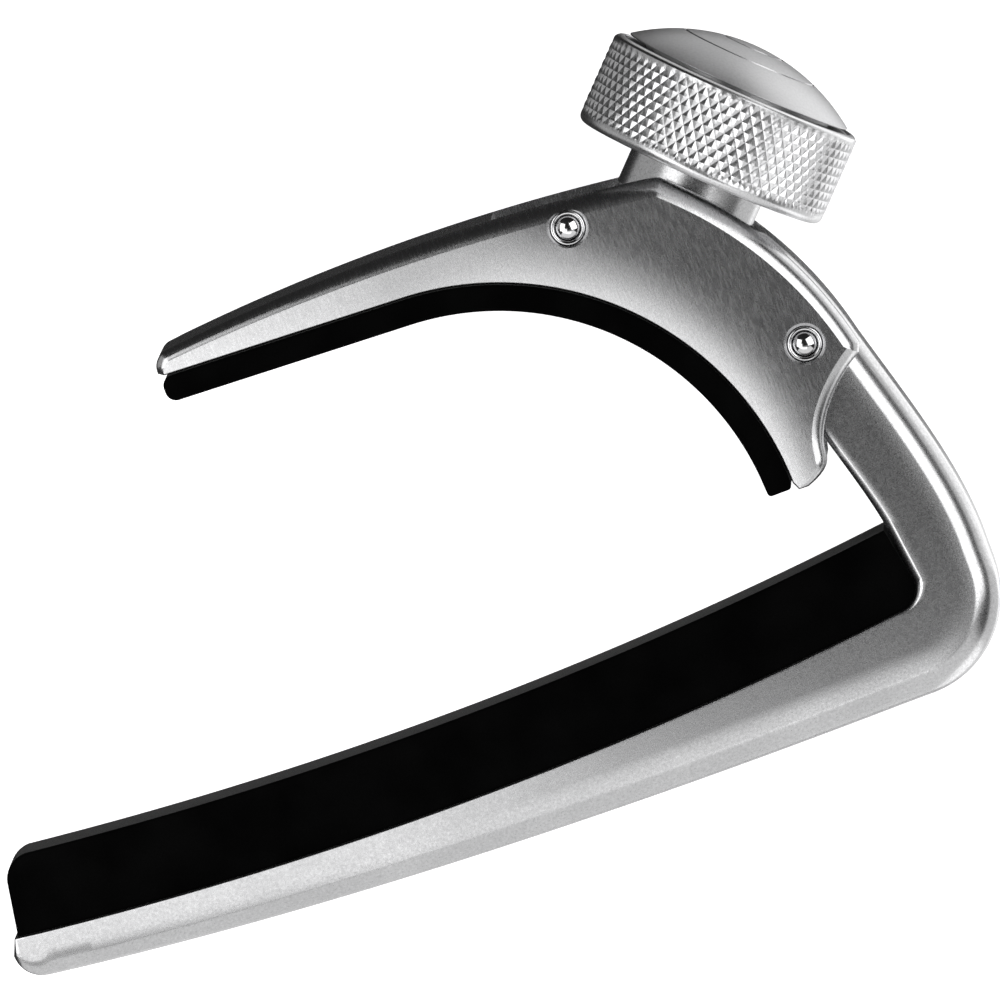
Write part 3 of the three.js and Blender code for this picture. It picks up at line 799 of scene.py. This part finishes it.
# A round cutter from one height to another along an axis.
def drill(radius, low, high, matrix):
    profile = [(0, low), (radius, low), (radius, high), (0, high)]
    return solid("drill", *lathe(profile, matrix, HOLE_SIDES))


# The notch for the spring's hooked leg, open to the nose's end and to the frame's near side.
def notch_cutter():
    low, high = NOTCH_FLOOR, NOTCH_FLOOR + NOTCH_HEIGHT
    outer, inner = NOSE_REACH - NOTCH_RUN_OUT, NOSE_REACH + NOTCH_DEPTH
    corners = ((low, outer), (low, inner), (high, inner), (high, outer))
    outline = outline_of(edged([from_screw(*corner) for corner in corners], 0))
    bottom = SPRING_LEG_Z - SPRING_WIRE
    return solid("notch", *plate(outline, bottom, bottom + NOTCH_WIDTH, 2))


def make_frame():
    half = FRAME_WIDTH / 2
    points, faces = plate(frame_outline(), -half, half, ease=FRAME_EASE)
    hole = drill(COLLAR_SHANK_RADIUS + PRESS, -12, 2, along_screw())
    bore = drill(SLEEVE_RADIUS + PRESS, -9, 9, along_pin(PIVOT))
    cutters = [notch_cutter(), bore, hole]
    mesh_piece("frame_casting", points, faces, "frame_body", "blasted_aluminium", ["frame"], cutters=cutters)


def make_fretboard_pad():
    left = PAD_LEFT + PAD_END_CORNER
    face_left = (left, pad_height(FRETBOARD_RADIUS, left) - PAD_END_CORNER)
    heel = heel_corner(PRESSED)
    outline = outline_of(
        edged(arc(face_left, PAD_END_CORNER, 175, 90), PAD_EDGE),
        edged(pad_line(FRETBOARD_RADIUS, left, 34.1), PAD_EDGE),
        edged(arc(heel, PAD_HEEL_CORNER, 0, -90), PAD_EDGE),
        edged(pad_line(SEAT_RADIUS + PRESSED, heel[0], PAD_LEFT - 0.6), PAD_EDGE),
    )
    half = FRETBOARD_PAD_WIDTH / 2
    points, faces = plate(outline, -half, half, PAD_LAYERS)
    piece = mesh_piece("fretboard_cushion", points, faces, "frame_body", "black_rubber", ["fretboard_pad"])


# ---------------------------------------------------------------- jaw and neck pad

JAW_BACK_EDGE = 1.7
JAW_REAR_EDGE = 1.1
JAW_HEEL_EDGE = 0.45
SEAM_EDGE = 0.14
# The jaw's faces fall this much towards the neck pad, from this distance above it. The rows are the
# distances from the pad's seat at which the faces carry points.
CROWN_FALL = 0.5
CROWN_REACH = 5
CROWN_ROWS = (0.45, 1, 1.6, 2.3, 3.1, 4, 5)
ROW_CLEARANCE = 0.25
PIN_HOLE_FLARE = 0.2
SPOT_RADIUS = 3.3
PAD_TIP_CORNER = 0.8
PAD_HEEL_ENDS = (27.25, 29.05)
PAD_HEEL_FOOT = 7.5
PAD_HEEL_ROUND = 0.3


# The arch from an angle to its crown, then straight on to an x: the line that the jaw and its pad share.
def arch_line(radius, start, end_x):
    arch = arc(NECK, radius, start, 90 - STRAIGHT_TILT)
    last = arch[-1]
    x = np.linspace(last[0], end_x, max(2, round((last[0] - end_x) / STEP)) + 1)[1:]
    return np.vstack([arch, np.column_stack([x, last[1] + (last[0] - x) * STRAIGHT_SLOPE])])


def jaw_outline():
    top = arc(TOP_CENTRE, TOP_RADIUS, 95.5, 83.4)
    back = arc(BACK_CENTRE, BACK_RADIUS, 48, 12)
    shoulder = curve(top[-1], (27.76, 31.68), back[0])
    rear = curve((36.95, 14.72), (35, 13.6), (32.4, 11.2), (32.25, 8.8))
    heel = curve((32.15, 8.3), (31.9, 7.5), (30.2, 6.95))
    return outline_of(
        edged(arc((JAW_TIP + JAW_TIP_ROUND, 30.92), JAW_TIP_ROUND, 185, 105), 0.7, 0.95),
        edged(top, 1, JAW_BACK_EDGE),
        edged(shoulder, JAW_BACK_EDGE),
        edged(back, JAW_BACK_EDGE, JAW_REAR_EDGE + 0.3),
        edged(rear, JAW_REAR_EDGE),
        edged(heel, JAW_REAR_EDGE, JAW_HEEL_EDGE),
        edged((29.5, 6.98), SEAM_EDGE),
        edged(arch_line(ARCH_RADIUS, 1, JAW_TIP + 0.4), SEAM_EDGE),
    )


# How far the jaw's faces fall away towards the neck pad.
def jaw_fall(x, y):
    above_line = y - NECK[1] - ARCH_RADIUS - (NECK[0] - x) * STRAIGHT_SLOPE
    from_arch = np.where(x > NECK[0], np.hypot(x - NECK[0], y - NECK[1]) - ARCH_RADIUS, above_line)
    return CROWN_FALL * np.clip(1 - from_arch / CROWN_REACH, 0, 1) ** 2


# The slot between the jaw's cheeks, down to its arched floor.
def slot_cutter():
    floor_radius = ARCH_RADIUS + JAW_FLOOR
    start = math.degrees(math.acos((SLOT_END - NECK[0]) / floor_radius))
    floor = arc(NECK, floor_radius, start, -8)
    far = 50
    outline = outline_of(edged([*floor, (far, floor[-1][1]), (far, far), (SLOT_END, far)], 0))
    inner_half = JAW_WIDTH / 2 - CHEEK
    return solid("slot", *plate(outline, -inner_half, inner_half, 2))


# A hole through the jaw for a pin and its bushes, flared at both ends.
def pin_hole_cutter(centre):
    half = JAW_WIDTH / 2
    hole = BUSH_RADIUS + PRESS
    upper = [
        (hole, half - PIN_HOLE_FLARE),
        (hole + PIN_HOLE_FLARE, half),
        (hole + PIN_HOLE_FLARE, half + BEYOND),
        (0, half + BEYOND),
    ]
    profile = [(radius, -height) for radius, height in upper[::-1]] + upper
    return solid("pin_hole", *lathe(profile, along_pin(centre), PIN_SIDES))


def make_jaw():
    beside_arch = [arch_line(ARCH_RADIUS + away, -8, JAW_TIP) for away in CROWN_ROWS]
    half = JAW_WIDTH / 2
    points, faces = crowned_plate(jaw_outline(), -half, half, jaw_fall, np.vstack(beside_arch))
    spot = drill(SPOT_RADIUS, SPOT_FACE, 0, along_screw())
    cutters = [spot, pin_hole_cutter(STOP_PIN), pin_hole_cutter(PIVOT), slot_cutter()]
    mesh_piece(
        "jaw_casting",
        points,
        faces,
        "jaw_body",
        "brushed_aluminium",
        ["jaw"],
        sharp=JAW_SHARP,
        cutters=cutters,
    )


def make_neck_pad():
    seat = ARCH_RADIUS - GLUE_GAP
    face = ARCH_RADIUS - NECK_PAD_THICKNESS
    tip = NECK_PAD_TIP + 0.05 + PAD_TIP_CORNER

    def height_at_tip(radius):
        return arch_line(radius, 45, tip)[-1][1]

    upper = (tip, height_at_tip(seat) - PAD_TIP_CORNER)
    lower = (tip, height_at_tip(face) + PAD_TIP_CORNER)
    inner, outer = PAD_HEEL_ENDS
    outline = outline_of(
        edged(arch_line(seat, 1.5, tip), PAD_EDGE),
        edged(arc(upper, PAD_TIP_CORNER, 90, 180), PAD_EDGE),
        edged(arc(lower, PAD_TIP_CORNER, 180, 270), PAD_EDGE),
        edged(arch_line(face, 2.5, tip)[::-1], PAD_EDGE),
        edged(arc((inner + PAD_HEEL_ROUND, PAD_HEEL_FOOT), PAD_HEEL_ROUND, 185, 270), PAD_EDGE),
        edged(arc((outer - PAD_HEEL_ROUND, PAD_HEEL_FOOT), PAD_HEEL_ROUND, 270, 355), PAD_EDGE),
    )
    half = NECK_PAD_WIDTH / 2
    points, faces = plate(outline, -half, half, PAD_LAYERS)
    piece = mesh_piece("neck_cushion", points, faces, "jaw_body", "black_rubber", ["neck_pad"])


# ---------------------------------------------------------------- pins, bushes, sleeve and washers

PIN_DOME = 0.4
# The dome stops at this share of its angle, and the rest of the pin's rim is bevelled.
DOME_SHARE = 0.95
RIM_BEVEL = 0.15
BUSH_LOW_EDGE = 0.04
BUSH_HIGH_EDGE = 0.15
SLEEVE_EDGE = 0.1
WASHER_EDGE = 0.05


def make_pins():
    half = PIN_LENGTH / 2
    ball = (PIN_RADIUS**2 + PIN_DOME**2) / (2 * PIN_DOME)
    spread = math.degrees(math.asin(PIN_RADIUS / ball))
    turns = np.radians(np.linspace(0, spread * DOME_SHARE, 12))
    profile = [(ball * math.sin(t), half - ball + ball * math.cos(t)) for t in turns]
    profile.append((PIN_RADIUS, half - PIN_DOME - RIM_BEVEL))
    profile = [(r, -h) for r, h in profile] + profile[::-1]
    for name, centre in (("pivot", PIVOT), ("stop", STOP_PIN)):
        points, faces = lathe(profile, along_pin(centre), PIN_SIDES)
        mesh_piece(f"{name}_pin_domed", points, faces, "jaw_body", "polished_steel", [f"{name}_pin"])
        make_bushes(name, centre)


# The mesh of a ring about a pin's centre, its two ends given as heights with their corners' radii.
def ring(centre, inner, outer, low, low_edge, high, high_edge):
    corners = [
        (inner, low, low_edge),
        (outer, low, low_edge),
        (outer, high, high_edge),
        (inner, high, high_edge),
    ]
    return lathe(rounded_profile(corners, closed=True), along_pin(centre), PIN_SIDES, closed=True)


def make_bushes(name, centre):
    inner = PIN_RADIUS + 0.06
    for side in ("near", "far"):
        node = f"{name}_bush_{side}"
        low, high = node_box(node)
        points, faces = ring(centre, inner, BUSH_RADIUS, low[2], BUSH_LOW_EDGE, high[2], BUSH_HIGH_EDGE)
        mesh_piece(f"{name}_ring_{side}", points, faces, "jaw_body", "polished_steel", [node])


def make_sleeve_and_washers():
    half = FRAME_WIDTH / 2
    inner = PIN_RADIUS + RUNNING
    points, faces = ring(PIVOT, inner, SLEEVE_RADIUS, -half, SLEEVE_EDGE, half, SLEEVE_EDGE)
    mesh_piece("pivot_sleeve_turned", points, faces, "frame_body", "bearing_bronze", ["pivot_sleeve"])
    for side in ("near", "far"):
        node = f"pivot_washer_{side}"
        low, high = node_box(node)
        outer = (high[0] - low[0]) / 2
        points, faces = ring(PIVOT, inner, outer, low[2], WASHER_EDGE, high[2], WASHER_EDGE)
        mesh_piece(f"{node}_turned", points, faces, "jaw_body", "white_nylon", [node])


# ---------------------------------------------------------------- screw line

KNURLS_ROUND = 70
KNURL_PITCH = 1.27
KNURL_DEPTH = 0.15
# Above 1, this rounds the knurl's points and leaves its grooves sharp.
KNURL_ROUNDING = 1.6
# The points stand this far above the knob's plain rim.
KNURL_PROUD = 0.04
# Mesh steps across half a pitch, and the height over which the knurl fades at its ends.
KNURL_CELLS = 3
KNURL_RUN_OUT = 0.45
KNOB_LIP = 0.6
# The knob's recess is this much wider than the CAD's cap, and the cap this much narrower.
CAP_GAP = 0.06
CAP_SIDE_GAP = 0.15
CAP_SEAM = 0.22
CAP_NECK = 1.5
CAP_GROOVES = (5.05, 2.3)
GROOVE_WIDTH = 0.2
GROOVE_DEPTH = 0.12
# Where the points across a groove lie, in shares of its width.
GROOVE_PLACES = (-0.5, -0.3, 0.3, 0.5)


def make_collar():
    inner = SCREW_RADIUS + 0.1
    seat = SEAT_HEIGHT + PRESS
    corners = [
        (inner, COLLAR_SHANK_END, 0.1),
        (COLLAR_SHANK_RADIUS, COLLAR_SHANK_END, 0.2),
        (COLLAR_SHANK_RADIUS, seat),
        (COLLAR_RADIUS, seat, 0.1),
        (COLLAR_RADIUS, COLLAR_TOP, 0.35),
        (inner, COLLAR_TOP, 0.2),
    ]
    profile = rounded_profile(corners, closed=True)
    points, faces = lathe(profile, along_screw(), COLLAR_SIDES, closed=True)
    mesh_piece("collar_turned", points, faces, "frame_body", "blasted_aluminium", ["screw_collar"])


# A closed profile carried round the axis, its radius changed by the relief at each angle and height.
# Each small four-cornered face is split along its lower diagonal, so that grooves stay crisp.
def relief_lathe(profile, matrix, sides, relief):
    angles = [2 * math.pi * i / sides for i in range(sides)]
    reliefs = [[relief(angle, height, radius) for angle in angles] for radius, height in profile]
    points, faces = [], []
    for (radius, height), row in zip(profile, reliefs):
        for angle, rise in zip(angles, row):
            r = radius + rise
            points.append(matrix @ Vector((r * math.cos(angle), r * math.sin(angle), height)))
    for row in range(len(profile)):
        above = (row + 1) % len(profile)
        for i in range(sides):
            j = (i + 1) % sides
            a, b, c, d = row * sides + i, row * sides + j, above * sides + j, above * sides + i
            rising = reliefs[row][i] + reliefs[above][j]
            falling = reliefs[row][j] + reliefs[above][i]
            if rising == falling:
                faces.append((a, b, c, d))
            elif rising < falling:
                faces += [(a, b, c), (a, c, d)]
            else:
                faces += [(a, b, d), (b, c, d)]
    return points, faces


def make_knob():
    lip_radius = KNOB_RADIUS - KNURL_PROUD
    top = KNOB_HEIGHT
    band = (KNOB_LIP, top - KNOB_LIP / 2)
    bore = SCREW_RADIUS + PRESS
    cap_recess = CAP_RADIUS + CAP_GAP
    corners = [
        (bore, RECESS_DEPTH, 0.1),
        (RECESS_RADIUS, RECESS_DEPTH, 0.3),
        (RECESS_RADIUS, 0, 0.25),
        (lip_radius, 0, 0.55),
        (lip_radius, top, 0.48),
        (cap_recess, top, 0.06),
        (cap_recess, CAP_SEAT, 0.1),
        (bore, CAP_SEAT, 0.1),
    ]
    profile = [tuple(p) for p in rounded_profile(corners, closed=True)]
    rows = round((band[1] - band[0]) / (KNURL_PITCH / 2 / KNURL_CELLS))
    below_band = [i for i, (r, h) in enumerate(profile) if r > lip_radius - 0.01 and h < top / 2]
    split = max(below_band) + 1
    profile[split:split] = [(lip_radius, h) for h in np.linspace(*band, rows + 1)]

    # Two families of slanting grooves, left and right, leave a pyramid in each diamond between them.
    def knurl(angle, height, radius):
        if radius < lip_radius - 0.001 or not band[0] < height < band[1]:
            return 0
        around = angle * KNURLS_ROUND / (2 * math.pi)
        along = (height - band[0]) / (band[1] - band[0]) * rows / (2 * KNURL_CELLS)
        falls = [abs(place - round(place)) for place in (around + along, around - along)]
        fade = min(1, (height - band[0]) / KNURL_RUN_OUT, (band[1] - height) / KNURL_RUN_OUT)
        sunk = KNURL_DEPTH * (1 - 2 * min(falls)) ** KNURL_ROUNDING
        return round(fade * (KNURL_PROUD - sunk), 6)

    sides = 2 * KNURLS_ROUND * KNURL_CELLS
    points, faces = relief_lathe(profile, along_screw(), sides, knurl)
    mesh_piece(
        "knob_knurled", points, faces, "knob", "knurled_aluminium", ["knob_body"], sharp=KNURL_SHARP
    )


# The cap stands on a narrower neck, which leaves a dark seam round it above the knob's rim.
def make_cap():
    radius = CAP_RADIUS - CAP_SIDE_GAP
    seam_top = KNOB_HEIGHT + CAP_SEAM
    rise = KNOB_HEIGHT - 0.05 + CAP_DOME - seam_top
    sphere = (radius**2 + rise**2) / (2 * rise)
    middle = seam_top + rise - sphere
    places = list(np.linspace(radius - 0.15, 0, 44))
    for groove in CAP_GROOVES:
        places += [groove + share * GROOVE_WIDTH for share in GROOVE_PLACES]
    dome = []
    for place in sorted(places, reverse=True):
        sunk = any(abs(place - groove) < 0.4 * GROOVE_WIDTH for groove in CAP_GROOVES)
        fall = GROOVE_DEPTH if sunk else 0
        dome.append((place, middle + math.sqrt(sphere**2 - place**2) - fall))
    neck = radius - CAP_NECK
    bottom, seam_bottom = CAP_SEAT + PRESS, KNOB_HEIGHT - 0.1
    foot = [(0, bottom), (radius, bottom, 0.05), (radius, seam_bottom, 0.05)]
    seam = [(neck, seam_bottom), (neck, seam_top), (radius, seam_top, 0.06)]
    profile = [*rounded_profile([*foot, *seam, dome[0]]), *dome]
    points, faces = lathe(profile, along_screw(), CAP_SIDES)
    mesh_piece(
        "knob_cap_turned", points, faces, "knob", "turned_aluminium", ["knob_cap"], sharp=CAP_SHARP
    )


# ---------------------------------------------------------------- return spring

SPRING_WIRE = 0.5
SPRING_MEAN_RADIUS = 1.35
SPRING_TURNS = 5.25
SPRING_PITCH = 0.62
# Sides of the wire, points in a turn of the coil, and steps from one point to the next.
SPRING_SIDES = 14
SPRING_STEPS = 10
SPRING_SMOOTHING = 3
# How high along the screw line the hooked leg lies, inside the frame's notch.
HOOK_HEIGHT = NOTCH_FLOOR + 0.3


# The middle of the wire: a leg on the jaw's floor, the coil round the stop pin, and a leg that
# hooks into the notch in the frame's nose.
def spring_path():
    start = -math.pi / 2 - math.atan2(SCREW_AXIS[0], SCREW_AXIS[1])
    length = SPRING_TURNS * SPRING_PITCH
    side = length / 2
    share = np.linspace(0, 1, round(SPRING_TURNS * SPRING_STEPS) + 1)
    angles = start + share * SPRING_TURNS * 2 * math.pi
    x = STOP_PIN[0] + SPRING_MEAN_RADIUS * np.cos(angles)
    y = STOP_PIN[1] + SPRING_MEAN_RADIUS * np.sin(angles)
    coil = np.column_stack([x, y, (share - 0.5) * length])
    floor_leg = [(-10, -9.1, -side - 0.2), (-9, -8.1, -side - 0.1)]
    hook_leg = [
        (-6, -5.72, side + 0.5),
        (-4.7, -5.75, SPRING_LEG_Z - 0.5),
        (HOOK_HEIGHT, -5.4, SPRING_LEG_Z),
        (HOOK_HEIGHT, -4.8, SPRING_LEG_Z),
        (HOOK_HEIGHT, -4, SPRING_LEG_Z),
    ]
    floor_leg, hook_leg = (
        [(*from_screw(height, across), z) for height, across, z in leg] for leg in (floor_leg, hook_leg)
    )
    return [Vector(point) for point in (*floor_leg, *coil, *hook_leg)]


# Points along a smooth line through the given ones.
def smooth_line(points, steps):
    padded = [2 * points[0] - points[1], *points, 2 * points[-1] - points[-2]]
    made = []
    for p, a, b, q in zip(padded, padded[1:], padded[2:], padded[3:]):
        for k in range(steps):
            t = k / steps
            pull = (2 * p - 5 * a + 4 * b - q) * t**2 + (3 * a - p - 3 * b + q) * t**3
            made.append(a + ((b - p) * t + pull) / 2)
    return [*made, points[-1]]


# A round wire along a line, its section carried along without twisting.
def wire_mesh(line, radius, sides):
    points, faces = [], []
    side = (line[1] - line[0]).orthogonal().normalized()
    for i, centre in enumerate(line):
        ahead = (line[min(i + 1, len(line) - 1)] - line[max(i - 1, 0)]).normalized()
        side = (side - ahead * side.dot(ahead)).normalized()
        up = ahead.cross(side)
        for k in range(sides):
            turn = 2 * math.pi * k / sides
            points.append(centre + radius * (math.cos(turn) * side + math.sin(turn) * up))
    for base in range(0, len(points) - sides, sides):
        for k in range(sides):
            j = (k + 1) % sides
            faces.append((base + k, base + j, base + sides + j, base + sides + k))
    faces.append(tuple(range(sides))[::-1])
    faces.append(tuple(range(len(points) - sides, len(points))))
    return points, faces


def make_spring():
    line = smooth_line(spring_path(), SPRING_SMOOTHING)
    points, faces = wire_mesh(line, SPRING_WIRE / 2 - 0.01, SPRING_SIDES)
    piece = finished_piece("return_spring_coil", points, faces, "spring_steel")
    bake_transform(piece)
    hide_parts("return_spring")


make_frame()
make_fretboard_pad()
make_jaw()
make_neck_pad()
make_pins()
make_sleeve_and_washers()
make_collar()
make_knob()
make_cap()
make_spring()

# ---------------------------------------------------------------- the CAD nodes that stay, with their finishes

KEPT_NODES = {
    "adjusting_screw": "polished_steel",
    "thrust_foot": "polished_steel",
    "foot_clip": "spring_steel",
}
for node, slot in KEPT_NODES.items():
    frame["nodes"][node].data.materials.clear()
    frame["nodes"][node].data.materials.append(MATERIALS[slot])
